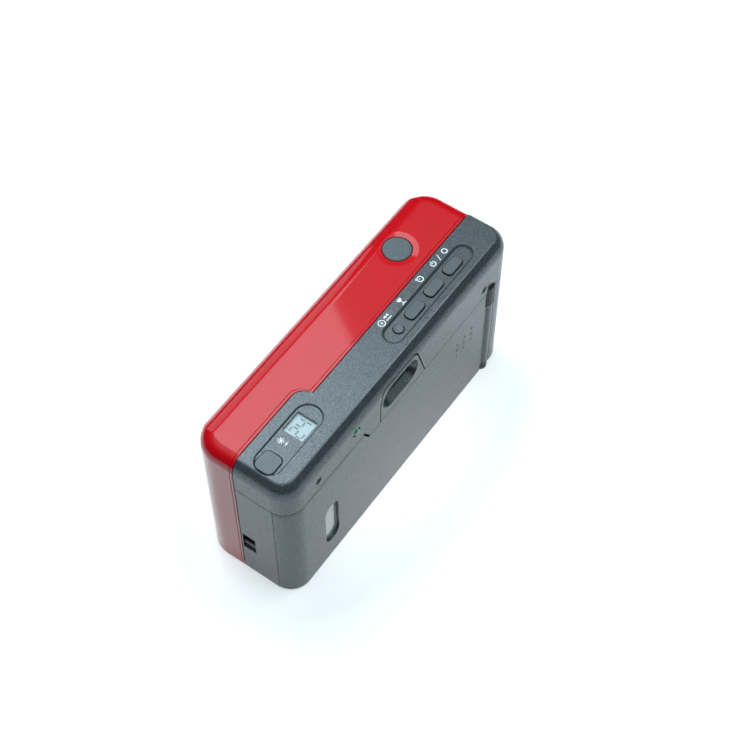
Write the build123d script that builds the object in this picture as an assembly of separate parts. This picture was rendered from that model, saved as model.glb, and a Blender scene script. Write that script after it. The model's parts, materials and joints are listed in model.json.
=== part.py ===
from build123d import *
import math
import os

# Compact 35 mm film camera, in millimetres.
# +Z is up and the camera stands on its base. -Y is the lens side and +Y the film door.
# +X is the end with the film cartridge, the frame counter and the flash button.

# ---- driving dimensions ----
WIDTH = 117.5
HEIGHT = 61.5
FRONT_Y = -18.3
REAR_Y = 18.3
FRONT_BOW = 0.6
PROUD_Y = 19.2          # crest of the hinge bar, and how far the lens bezel stands forward
FRONT_CORNER_R = 9.6
REAR_CORNER_R = 7.0
FRONT_TOP_R = 8.0
BAND_R = 6.9            # the band round the rear covers' top edge is an arc that meets the walls smoothly
BAND_IN = 2.7           # and stops this far inside them, at a crease round the top face
FRONT_BAND_R = 5.4      # the front cover is simply rounded over
CREASE = 0.25           # fine bevel along that crease
WALL = 1.5
GAP = 0.34              # visible gap between neighbouring covers
FIT = 0.1               # clearance round a fixed pane or lamp
KEY_FIT = 0.22          # clearance round a button that slides
HALF_W = WIDTH / 2
INNER_X = HALF_W - WALL

# seam between the front cover and the rear covers, seen from above
SEAM_Y = 2.6
SEAM_STEP_X = 25.6
SEAM_LEFT_X = 27.2
SEAM_LEFT_Y = -1.8
SEAM_STEP_R = 4.5

# film door outline
DOOR_TOP_LEFT = 47.6
DOOR_TOP_RIGHT = 43.3
DOOR_STEP_X0 = 19.6
DOOR_STEP_X1 = 22.3
DOOR_SIDE_Y = 12.0
DOOR_BOTTOM = 0.4
DOOR_LIP = 0.75         # a fine groove runs this far below the taller part's top edge
DOOR_LIP_W = 0.22
DOOR_LIP_DEPTH = 0.25
HINGE_X = -47.6
HINGE_Y = 16.9
HINGE_R = PROUD_Y - HINGE_Y
PIN_R = 0.8
KNUCKLE_TOP = 45.0
KNUCKLE_SPLIT = 36.8
KNUCKLE_LOW = 3.0

# optics and film path
LENS_X = 3.0
LENS_Z = 24.6
BARREL_R = 15.0
BARREL_IN_R = 14.0
GUIDE_IN_R = 15.1
GUIDE_OUT_R = 16.5
BEZEL_R = 19.0
LENS_CAP_R = 6.5        # opening in the front of the barrel
LENS_CAP_T = 1.2        # thickness of the barrel's front
LENS_R = 6.4
BEZEL_SEAT_Y = -18.2
GUIDE_Y0 = -16.2
BARREL_Y0 = -18.6
BARREL_Y1 = -1.5
BLADE_Y0 = -17.2
BLADE_Y1 = -16.5
SHUTTER_Y0 = -16.2
SHUTTER_Y1 = -4.0
SHUTTER_SLOT_Y = -9.5
BLADE_T = 0.4           # thickness of a shutter blade
FILM_Y = 14.6
GATE_W = 36.0
GATE_H = 24.0
GATE_PLATE = 2.0
DECK = 1.4
DECK_Z0 = 1.7
DECK_Z1 = 47.2
CARTRIDGE_X = 40.0
CARTRIDGE_Y = 3.6
CARTRIDGE_R = 13.0
TAKE_UP_X = -30.0
TAKE_UP_Y = 5.0
TAKE_UP_R = 10.5
CHAMBER_WALL = 1.1

# battery, upright in the grip
BATTERY_R = 8.5
BATTERY_X = -47.0
BATTERY_Y = -6.6
BATTERY_Z0 = 4.0
BATTERY_Z1 = 38.5
BATTERY_DOOR = (-56.0, -38.3, -15.6, 4.0)
BATTERY_HINGE_Z = 1.6
BATTERY_HINGE_R = 1.5
BATTERY_PIN_R = 0.5
BASE_GAP = 0.15

# viewfinder and the windows on the front: x0, x1, z0, z1 or x, z
FINDER_X = 2.9
FINDER_Z = 51.6
FRAME_TOP = 57.6
FRAME_GAP = 0.42
FRAME_CORNER_R = 2.6
FRAME_BACK_Y = 15.0
EYE_LENGTH = 18.4       # mouth of the eyepiece funnel at the rear face
EYE_HEIGHT = 9.8
EYE_DEPTH = 2.6
EYE_TAPER = 26
EYE_INNER_L = 15.2      # its narrow end
EYE_INNER_H = 6.6
FASCIA = (-25.6, 9.0, 45.4, 55.4)
FASCIA_R = 3.5
FASCIA_Y1 = -17.0
FINDER_PANE = (-2.2, 7.6, 46.9, 54.0)
AF_PANES = ((-9.4, 50.4), (-19.6, 50.4))
AF_R = 3.2
FLASH_PANE = (27.0, 47.0, 44.5, 55.5)
TIMER_LAMP_XZ = (15.6, 51.6)
TIMER_LAMP_R = 1.5
SENSOR_XZ = (21.2, 51.6)
SENSOR_R = 2.1
READY_LAMP_XZ = (25.5, 53.9)
READY_LAMP_R = 1.5
READY_LAMP_PROUD = 0.6
READY_HOLE_R = 1.75
HOUSING_Z = (47.5, 55.9)
HOUSING_HALF_W = 8.2
HOUSING_WALL = 1.2
FLASH_PANE_Y0 = -18.5
REFLECTOR_R = 4.4
FLASH_TUBE_R = 1.2
CAPACITOR_XY = (26.0, -12.2)
CAPACITOR_R = 4.3
CAPACITOR_Z = (4.0, 38.0)

# film door details
FILM_WINDOW = (35.6, 42.2, 9.1, 29.8)
FILM_WINDOW_R = 3.2
DIMPLE_XZ = (-29.0, 34.0)
DIMPLE_STEP_X = 4.1
DIMPLE_STEP_Z = 2.9
DIMPLE_R = 0.5
DIMPLE_DEPTH = 0.9
LATCH_Y0 = -1.0
LATCH_Y1 = 3.8
LATCH_Z0 = 13.3
LATCH_Z1 = 21.6
LATCH_BACK_X = 55.5
LATCH_FACE_X = 57.0

# red lip beside the seam
LIP_W = 0.8
LIP_GROOVE = 0.22
LIP_DEPTH = 0.3

# fasteners, tripod socket and strap bar
SCREW_R = 0.7
SCREW_HEAD_R = 1.15
SCREW_SINK = 0.8
REAR_SCREWS = ((44.4, 52.1), (-43.2, 47.8))
BASE_SCREWS = ((-12.0, 8.0), (21.0, 8.0))
BASE_HEAD_R = 1.7
BASE_HEAD_H = 0.8
SOCKET_X = 3.0
SOCKET_Y = -4.0
SOCKET_FLANGE_R = 5.5
SOCKET_BODY_R = 4.5
SOCKET_H = 6.4
SOCKET_THREAD_R = 2.6
SOCKET_DEPTH = 5.6
STRAP_BACK_X = -55.7
STRAP_Y0 = 6.4
STRAP_Y1 = 11.4
STRAP_Z0 = 14.0
STRAP_Z1 = 25.0
STRAP_BAR_X = -57.7
STRAP_BAR_R = 0.75
STRAP_WALL = 1.2

# film transport gears
GEAR_MODULE = 0.5
SPOOL_TEETH = 40
IDLER_TEETH = 16
PINION_TEETH = 12
GEAR_Z0 = 3.4
GEAR_Z1 = 5.0
SPOOL_FLOOR = 5.4
SPOOL_R = 6.5
SPOOL_SHAFT_R = 2.0
CHAMBER_TOP = 50.4
CHAMBER_FLOOR = 2.9
FORK_R = 3.0
FORK_Z0 = 1.8
FRONT_WALL_Y = 2.0
MOTOR_X = -20.0
MOTOR_Y = -11.0
MOTOR_R = 5.5
MOTOR_SHAFT_R = 0.75
MOTOR_Z0 = 5.4
MOTOR_Z1 = 26.0
IDLER_STUD_R = 1.0

# top controls: x, y, half length, half width
SHUTTER_XY = (-32.1, -7.5)
SHUTTER_R = 4.7
TROUGH = (-46.0, -1.6, 6.4, 13.6)
KEY_Y = 10.0
KEY_HALF_W = 1.85
KEYS = {"power_button": -36.7, "timer_button": -26.5, "macro_button": -16.2}
KEY_HALF_L = 3.75
REWIND_X = -7.7
REWIND_R = 1.7
PANEL = (28.6, 56.0, 1.9, 11.2)
LCD_BOX = (33.2, 40.6, 3.0, 10.0)
FLASH_KEY = (48.3, 55.3, 3.1, 9.7)
TROUGH_DEPTH = 0.75
PANEL_DEPTH = 0.45
RECESS_SLOPE = 45       # their sides lean this far from upright
RIM_R = 0.3             # rounding of their rims
KEY_FOOT_Z = 58.2
KEY_EDGE_R = 0.3
KEY_CORNER_R = 1.4
FLASH_KEY_R = 2.0
KEY_TOP = HEIGHT - 0.05
SHUTTER_TOP = HEIGHT - 0.02
DISH_R = 6.8
DISH_DEPTH = 0.45
BOARD_Z0 = 56.2
BOARD_Z1 = 57.0
MAIN_BOARD = (-40.0, 22.0, -8.0, 11.0)
MAIN_BOARD_Z = (48.05, 48.85)


def block(x0, x1, y0, y1, z0, z1):
    return Pos((x0 + x1) / 2, (y0 + y1) / 2, (z0 + z1) / 2) * Box(x1 - x0, y1 - y0, z1 - z0)


def rod_z(x, y, radius, z0, z1):
    return Pos(x, y, (z0 + z1) / 2) * Cylinder(radius, z1 - z0)


def rod_y(x, z, radius, y0, y1):
    return Pos(x, (y0 + y1) / 2, z) * Rot(90, 0, 0) * Cylinder(radius, y1 - y0)


def rod_x(y, z, radius, x0, x1):
    return Pos((x0 + x1) / 2, y, z) * Rot(0, 90, 0) * Cylinder(radius, x1 - x0)


def rounded_z(x0, x1, y0, y1, z0, z1, radius):
    """Upright block with its four vertical edges rounded."""
    shape = block(x0, x1, y0, y1, z0, z1)
    return fillet(shape.edges().filter_by(Axis.Z), radius)


def rounded_y(x0, x1, z0, z1, y0, y1, radius):
    """Block along Y with its four long edges rounded."""
    shape = block(x0, x1, y0, y1, z0, z1)
    return fillet(shape.edges().filter_by(Axis.Y), radius)


def rounded_x(x0, x1, y0, y1, z0, z1, radius):
    """Block along X with its four long edges rounded."""
    shape = block(x0, x1, y0, y1, z0, z1)
    return fillet(shape.edges().filter_by(Axis.X), radius)


def grow(rect, shift):
    """A rectangle (low, high, low, high) made larger by shift all round."""
    a0, a1, b0, b1 = rect
    return a0 - shift, a1 + shift, b0 - shift, b1 + shift


def rear_profile(points, y0, y1):
    """Outline given as (x, z) points, as a solid from y0 to y1."""
    outline = Plane.XZ * make_face(Polyline(*points, close=True))
    return Pos(0, y1, 0) * extrude(outline, y1 - y0)


def plan_face(inset):
    """Outline of the camera from above, moved in by inset, with a gently bowed front."""
    half = HALF_W - inset
    front = FRONT_Y + inset
    rear = REAR_Y - inset
    rf = FRONT_CORNER_R - inset
    rr = REAR_CORNER_R - inset
    right_front = Vector(half - rf, front)
    left_front = Vector(-half + rf, front)
    edges = [
        ThreePointArc(left_front, Vector(0, front - FRONT_BOW), right_front),
        RadiusArc(right_front, Vector(half, front + rf), -rf),
        Line(Vector(half, front + rf), Vector(half, rear - rr)),
        RadiusArc(Vector(half, rear - rr), Vector(half - rr, rear), -rr),
        Line(Vector(half - rr, rear), Vector(-half + rr, rear)),
        RadiusArc(Vector(-half + rr, rear), Vector(-half, rear - rr), -rr),
        Line(Vector(-half, rear - rr), Vector(-half, front + rf)),
        RadiusArc(Vector(-half, front + rf), left_front, -rf),
    ]
    return make_face(edges)


def envelope(inset):
    """The whole outer form, moved in by inset on every side, with the rounded band round the top."""
    top = HEIGHT - inset
    full_round = HEIGHT + BAND_R - math.sqrt(BAND_R ** 2 - (BAND_R - BAND_IN) ** 2) - inset
    body = Pos(0, 0, inset) * extrude(plan_face(inset), full_round - inset)
    body = fillet(body.faces().sort_by(Axis.Z)[-1].edges(), BAND_R - inset)
    body = body & block(-WIDTH, WIDTH, -WIDTH, WIDTH, 0, top)
    if inset >= WALL:
        return body
    return chamfer(body.faces().sort_by(Axis.Z)[-1].edges(), CREASE)


def front_envelope(inset):
    """The outer form of the front cover, moved in by inset: rounded over without a crease."""
    body = Pos(0, 0, inset) * extrude(plan_face(inset), HEIGHT - 2 * inset)
    return fillet(body.faces().sort_by(Axis.Z)[-1].edges(), FRONT_BAND_R - inset) & front_rounding(inset)


def front_rounding(inset):
    """Everything behind the large rounding that joins the front to the top."""
    keep = block(-HALF_W - 1, HALF_W + 1, -PROUD_Y + inset, REAR_Y + 5, -1, HEIGHT - inset)
    edge = keep.edges().filter_by(Axis.X).sort_by(Axis.Y)[:2].sort_by(Axis.Z)[-1]
    return fillet(edge, FRONT_TOP_R - inset)


def rear_region(shift):
    """Everything behind the seam between the front cover and the rear covers."""
    points = [
        (-70, SEAM_Y + shift),
        (SEAM_STEP_X, SEAM_Y + shift),
        (SEAM_LEFT_X, SEAM_LEFT_Y + shift),
        (70, SEAM_LEFT_Y + shift),
        (70, 40),
        (-70, 40),
    ]
    shape = Pos(0, 0, -1) * extrude(make_face(Polyline(*points, close=True)), HEIGHT + 2)
    corner = Vector(SEAM_LEFT_X, SEAM_LEFT_Y + shift, HEIGHT / 2)
    edge = shape.edges().filter_by(Axis.Z).sort_by_distance(corner)[0]
    return fillet(edge, SEAM_STEP_R)


def above_door(shift):
    """Everything above the door's top edge, moved up by shift, and twice as far away at the step."""
    points = [
        (-70, DOOR_TOP_RIGHT + shift),
        (DOOR_STEP_X0 - 2 * shift, DOOR_TOP_RIGHT + shift),
        (DOOR_STEP_X1 - 2 * shift, DOOR_TOP_LEFT + shift),
        (70, DOOR_TOP_LEFT + shift),
        (70, 80),
        (-70, 80),
    ]
    return rear_profile(points, -30, 30)


def slot_rear(x0, x1, z0, z1, y0, y1):
    """Long rounded slot on the rear or the front, with fully round ends."""
    radius = min(x1 - x0, z1 - z0) / 2 - 0.01
    return rounded_y(x0, x1, z0, z1, y0, y1, radius)


def key_solid(x0, x1, y0, y1, top, radius):
    """A key: a rounded cap and a wider foot that keeps it in its hole."""
    cap = rounded_z(x0, x1, y0, y1, KEY_FOOT_Z + 0.5, top, radius)
    cap = fillet(cap.faces().sort_by(Axis.Z)[-1].edges(), KEY_EDGE_R)
    foot = rounded_z(x0 - 0.6, x1 + 0.6, y0 - 0.6, y1 + 0.6, KEY_FOOT_Z, KEY_FOOT_Z + 1.0, radius)
    return cap + (foot & envelope(WALL + 0.3))


def round_key(x, y, radius, top):
    cap = rod_z(x, y, radius, KEY_FOOT_Z + 0.5, top)
    cap = fillet(cap.faces().sort_by(Axis.Z)[-1].edges(), KEY_EDGE_R)
    return cap + rod_z(x, y, radius + 0.6, KEY_FOOT_Z, KEY_FOOT_Z + 1.0)


def key_box(name):
    x = KEYS[name]
    return x - KEY_HALF_L, x + KEY_HALF_L, KEY_Y - KEY_HALF_W, KEY_Y + KEY_HALF_W


def gear(teeth, x, y, phase, z0, z1):
    """Small spur gear with straight-sided teeth; phase turns it about its own centre, in degrees."""
    pitch_r = GEAR_MODULE * teeth / 2
    root_r = pitch_r - 1.2 * GEAR_MODULE
    tip_r = pitch_r + 0.8 * GEAR_MODULE
    step = 360 / teeth
    half_root = 0.30 * step
    half_tip = 0.11 * step
    wheel = rod_z(0, 0, root_r, z0, z1)
    outline = []
    corners = ((root_r - 0.2, -half_root), (tip_r, -half_tip), (tip_r, half_tip), (root_r - 0.2, half_root))
    for radius, angle in corners:
        a = math.radians(angle)
        outline.append((radius * math.cos(a), radius * math.sin(a)))
    tooth = Pos(0, 0, z0) * extrude(make_face(Polyline(*outline, close=True)), z1 - z0)
    wheel = wheel + [Rot(0, 0, step * i) * tooth for i in range(teeth)]
    return Pos(x, y, 0) * Rot(0, 0, phase) * wheel


# ---- outer covers ----

def make_front_cover():
    shell = front_envelope(0) - (INNER & front_rounding(WALL))
    shell -= rear_region(0)
    shell -= BASE_ZONE
    lip_line = rear_region(-LIP_W - LIP_GROOVE) - rear_region(-LIP_W)
    shell -= (front_envelope(0) & lip_line) - (front_envelope(LIP_DEPTH) & lip_line)
    shell -= rod_y(LENS_X, LENS_Z, BEZEL_R - 1.4, -30, -5)
    shell -= rod_y(LENS_X, LENS_Z, BEZEL_R + FIT, -30, BEZEL_SEAT_Y)
    shell -= rounded_y(*grow(FASCIA, FIT), -30, -12, 3.5)
    shell -= rounded_y(*grow(FLASH_PANE, FIT), -30, -12, 1.5)
    shell -= rod_y(*TIMER_LAMP_XZ, TIMER_LAMP_R + FIT, -30, -12)
    shell -= rod_y(*SENSOR_XZ, SENSOR_R + FIT, -30, -12)
    dish_r = (DISH_R ** 2 + DISH_DEPTH ** 2) / (2 * DISH_DEPTH)
    shell -= Pos(*SHUTTER_XY, HEIGHT - DISH_DEPTH + dish_r) * Sphere(dish_r)
    shell -= rod_z(*SHUTTER_XY, SHUTTER_R + KEY_FIT, HEIGHT - 4, HEIGHT + 1)
    return shell


def make_top_cover():
    shell = (OUTER - INNER) & rear_region(GAP) & above_door(GAP)
    shell -= recess(TROUGH, TROUGH_DEPTH)
    shell -= recess(PANEL, PANEL_DEPTH)
    for name in KEYS:
        x0, x1, y0, y1 = grow(key_box(name), KEY_FIT)
        shell -= rounded_z(x0, x1, y0, y1, HEIGHT - 4, HEIGHT + 1, KEY_CORNER_R + KEY_FIT)
    shell -= rod_z(REWIND_X, KEY_Y, REWIND_R + KEY_FIT, HEIGHT - 4, HEIGHT + 1)
    x0, x1, y0, y1 = grow(FLASH_KEY, KEY_FIT)
    shell -= rounded_z(x0, x1, y0, y1, HEIGHT - 4, HEIGHT + 1, FLASH_KEY_R + KEY_FIT)
    x0, x1, y0, y1 = LCD_BOX
    shell -= rounded_z(x0 - FIT, x1 + FIT, y0 - FIT, y1 + FIT, HEIGHT - 4, HEIGHT + 1, 0.5)
    shell -= frame_prism(FRAME_GAP, REAR_Y - 3, REAR_Y + 2)
    shell -= rod_y(*READY_LAMP_XZ, READY_HOLE_R, 10, 25)
    for x, z in REAR_SCREWS:
        shell -= rod_y(x, z, SCREW_HEAD_R + 0.15, REAR_Y - SCREW_SINK, 25)
        shell -= rod_y(x, z, SCREW_R + 0.1, 10, 25)
    shell -= rod_z(HINGE_X, HINGE_Y, HINGE_R + GAP, 0, KNUCKLE_TOP + GAP)
    return shell


def recess(outline, depth):
    """A shallow stadium-shaped hollow in the top face, with sloping sides and a rounded rim."""
    x0, x1, y0, y1 = outline
    mouth = Pos((x0 + x1) / 2, (y0 + y1) / 2, HEIGHT) * SlotOverall(x1 - x0, y1 - y0)
    hollow = extrude(mouth, -depth, taper=RECESS_SLOPE)
    hollow += rounded_z(*grow(outline, 3), HEIGHT, HEIGHT + 1, (y1 - y0) / 2)
    rim = hollow.edges().filter_by_position(Axis.Z, HEIGHT - 0.01, HEIGHT + 0.01)
    rim = rim.filter_by_position(Axis.X, x0 - 0.5, x1 + 0.5).filter_by_position(Axis.Y, y0 - 0.5, y1 + 0.5)
    return fillet(rim, RIM_R)


def frame_prism(shift, y0, y1):
    """Outline of the trim round the eyepiece, grown by shift."""
    left, right = FINDER_X + 10.4 + shift, FINDER_X - 12.9 - shift
    low, high = DOOR_TOP_RIGHT, FRAME_TOP + shift
    points = [(left, low), (left - 0.2, FINDER_Z), (left - 1.6, high), (right + 4.6, high), (right, low)]
    shape = rear_profile(points, y0, y1)
    upper = shape.edges().filter_by(Axis.Y).filter_by_position(Axis.Z, FINDER_Z - 1, high + 1)
    return fillet(upper, FRAME_CORNER_R)


def make_eyepiece_frame():
    """Trim whose opening narrows inwards like a funnel, down to the eyepiece pane."""
    frame = (OUTER & frame_prism(0, FRAME_BACK_Y, REAR_Y + 2)) & above_door(GAP)
    mouth = Plane.XZ.offset(-REAR_Y) * Pos(FINDER_X, FINDER_Z) * SlotOverall(EYE_LENGTH, EYE_HEIGHT)
    funnel = extrude(mouth, EYE_DEPTH, taper=EYE_TAPER)
    reach = FINDER_X - EYE_INNER_L / 2, FINDER_X + EYE_INNER_L / 2
    rise = FINDER_Z - EYE_INNER_H / 2, FINDER_Z + EYE_INNER_H / 2
    return frame - funnel - slot_rear(*reach, *rise, 10, 20)


def make_side_cover_left():
    cover = (OUTER - INNER) & rear_region(GAP)
    cover = cover & block(INNER_X - 0.01, HALF_W + 1, -5, DOOR_SIDE_Y - GAP / 2, 0, DOOR_TOP_LEFT)
    cover -= block(50, 70, LATCH_Y0, LATCH_Y1, LATCH_Z0, LATCH_Z1)
    return cover


def make_side_cover_right():
    cover = (OUTER - INNER) & rear_region(GAP)
    cover = cover & block(-70, HINGE_X - HINGE_R - GAP, -5, 30, 0, DOOR_TOP_RIGHT)
    cover -= BASE_ZONE
    sides = grow((STRAP_Y0, STRAP_Y1, STRAP_Z0, STRAP_Z1), STRAP_WALL)
    boss = block(-INNER_X - 0.5, STRAP_BACK_X + STRAP_WALL, *sides)
    cover += boss & envelope(WALL / 2)
    cover -= rounded_x(-70, STRAP_BACK_X, STRAP_Y0, STRAP_Y1, STRAP_Z0, STRAP_Z1, 1.2)
    cover -= make_strap_bar()
    return cover


def make_strap_bar():
    return rod_z(STRAP_BAR_X, (STRAP_Y0 + STRAP_Y1) / 2, STRAP_BAR_R, STRAP_Z0 - 0.7, STRAP_Z1 + 0.7)


def make_bottom_cover():
    plate = extrude(plan_face(WALL + BASE_GAP), WALL)
    plate -= battery_opening()
    plate -= rod_z(SOCKET_X, SOCKET_Y, SOCKET_FLANGE_R + 0.05, -1, 3)
    plate -= rod_z(HINGE_X, HINGE_Y, HINGE_R + GAP, -1, 3)
    for x, y in BASE_SCREWS:
        plate -= rod_z(x, y, BASE_HEAD_R + 0.1, -1, BASE_HEAD_H)
        plate -= rod_z(x, y, SCREW_R + 0.1, -1, 3)
    plate += rod_z(*IDLER_XY, IDLER_STUD_R, WALL - 0.1, GEAR_Z1)
    x0, x1, _, y1 = BATTERY_DOOR
    for lug_x0, lug_x1 in ((x0 - 1.0, x0 - 0.2), (x1 + 0.2, x1 + 2.2)):
        plate += block(lug_x0, lug_x1, y1 - 1.2, y1 + 1.2, WALL - 0.1, BATTERY_HINGE_Z + 1.3)
    return plate - rod_x(y1, BATTERY_HINGE_Z, BATTERY_PIN_R, x0 - 0.9, x1 + 2.0)


def battery_opening():
    """Opening in the base for the battery door and its hinge barrel."""
    x0, x1, y0, y1 = BATTERY_DOOR
    return block(x0 - GAP, x1 + GAP, y0 - GAP, y1 + BATTERY_HINGE_R + BASE_GAP, -1, 6)


def make_battery_door():
    x0, x1, y0, y1 = BATTERY_DOOR
    door = block(x0, x1, y0, y1, 0.1, WALL) & extrude(plan_face(WALL + BASE_GAP + GAP), WALL)
    for i in range(4):
        y = y0 + 2.5 + 1.2 * i
        door -= block(BATTERY_X - 3.5, BATTERY_X + 3.5, y, y + 0.6, 0, 0.45)
    door += rod_x(y1, BATTERY_HINGE_Z, BATTERY_HINGE_R, x0, x1)
    return door - rod_x(y1, BATTERY_HINGE_Z, BATTERY_PIN_R + 0.06, -70, 0)


def make_battery_door_pin():
    x0, x1, _, y1 = BATTERY_DOOR
    return rod_x(y1, BATTERY_HINGE_Z, BATTERY_PIN_R, x0 - 0.9, x1 + 2.0)


# ---- film door ----

def make_back_door():
    inner_y = REAR_Y - WALL
    plate_x0 = HINGE_X + HINGE_R + 0.3
    shell = OUTER - INNER - above_door(0) - BASE_ZONE
    keep = block(plate_x0, 70, inner_y, 30, DOOR_BOTTOM, 60)
    keep += block(HALF_W - 8.0, 70, DOOR_SIDE_Y, 30, DOOR_BOTTOM, 60)
    door = shell & keep
    z0, z1 = KNUCKLE_LOW + GAP, KNUCKLE_SPLIT - GAP
    door += block(HINGE_X, plate_x0 + 1, inner_y, REAR_Y, z0, z1)
    door += rod_z(HINGE_X, HINGE_Y, HINGE_R, z0, z1)
    door -= rod_z(HINGE_X, HINGE_Y, PIN_R + 0.08, -5, 70)
    door += block(-16, 22, inner_y - 0.9, inner_y + 0.1, DOOR_TOP_RIGHT - 2.2, DOOR_TOP_RIGHT - 1.2)
    x0, x1, z0, z1 = FILM_WINDOW
    door -= rounded_y(x0, x1, z0, z1, 10, 25, FILM_WINDOW_R)
    lip_z = DOOR_TOP_LEFT - DOOR_LIP
    lip_line = block(DOOR_STEP_X1, 70, 0, 30, lip_z - DOOR_LIP_W, lip_z)
    door -= (OUTER & lip_line) - (envelope(DOOR_LIP_DEPTH) & lip_line)
    for i in range(3):
        for j in range(3):
            x = DIMPLE_XZ[0] - DIMPLE_STEP_X * i
            z = DIMPLE_XZ[1] - DIMPLE_STEP_Z * j
            door -= rod_y(x, z, DIMPLE_R, REAR_Y - DIMPLE_DEPTH, REAR_Y + 1)
    return door


def make_film_window_pane():
    x0, x1, z0, z1 = FILM_WINDOW
    inner_y = REAR_Y - WALL
    return rounded_y(x0 + 0.03, x1 - 0.03, z0 + 0.03, z1 - 0.03, inner_y, inner_y + 0.5, FILM_WINDOW_R - 0.03)


def make_pressure_plate():
    plate = rounded_y(LENS_X - 21, LENS_X + 21, LENS_Z - 15, LENS_Z + 15, FILM_Y + 0.7, FILM_Y + 1.5, 2.0)
    for i in (-1, 1):
        plate += block(LENS_X + 8 * i - 1.5, LENS_X + 8 * i + 1.5, FILM_Y + 1.4, FILM_Y + 1.7, LENS_Z - 6, LENS_Z + 6)
    return plate


def make_hinge_knuckles():
    knuckles = rod_z(HINGE_X, HINGE_Y, HINGE_R, KNUCKLE_SPLIT, KNUCKLE_TOP)
    knuckles += rod_z(HINGE_X, HINGE_Y, HINGE_R, 0.1, KNUCKLE_LOW)
    arm_y = HINGE_Y - HINGE_R - 0.6
    for z0, z1 in ((WALL + 0.1, KNUCKLE_LOW), (KNUCKLE_SPLIT, KNUCKLE_TOP)):
        knuckles += block(HINGE_X - 1.5, HINGE_X + 1.5, arm_y - 1.2, HINGE_Y, z0, z1)
    knuckles += block(HINGE_X - 1.5, HINGE_X + 1.5, arm_y - 1.2, arm_y, KNUCKLE_LOW - 1, KNUCKLE_TOP - 1)
    return knuckles - rod_z(HINGE_X, HINGE_Y, PIN_R, 0.5, KNUCKLE_TOP - 1.2)


def make_door_latch():
    """Slide plate with a finger rib and grip lines outside, and the tongue that holds the door."""
    y0, y1 = LATCH_Y0 + 0.25, LATCH_Y1 - 0.25
    latch = block(LATCH_BACK_X, LATCH_FACE_X, LATCH_Y0 + 0.1, 6.0, LATCH_Z0 - 5.8, LATCH_Z1 + 3.9)
    latch += block(LATCH_FACE_X, LATCH_FACE_X + 1.3, y0, y1, LATCH_Z0 + 2.0, LATCH_Z0 + 3.8)
    for i in range(3):
        z = LATCH_Z0 + 4.6 + 1.1 * i
        latch += block(LATCH_FACE_X, LATCH_FACE_X + 0.5, y0, y1, z, z + 0.55)
    return latch + block(LATCH_BACK_X, LATCH_FACE_X, 6.0, 9.5, LATCH_Z1 - 0.6, LATCH_Z1 + 2.4)


# ---- chassis and film transport ----

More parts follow.
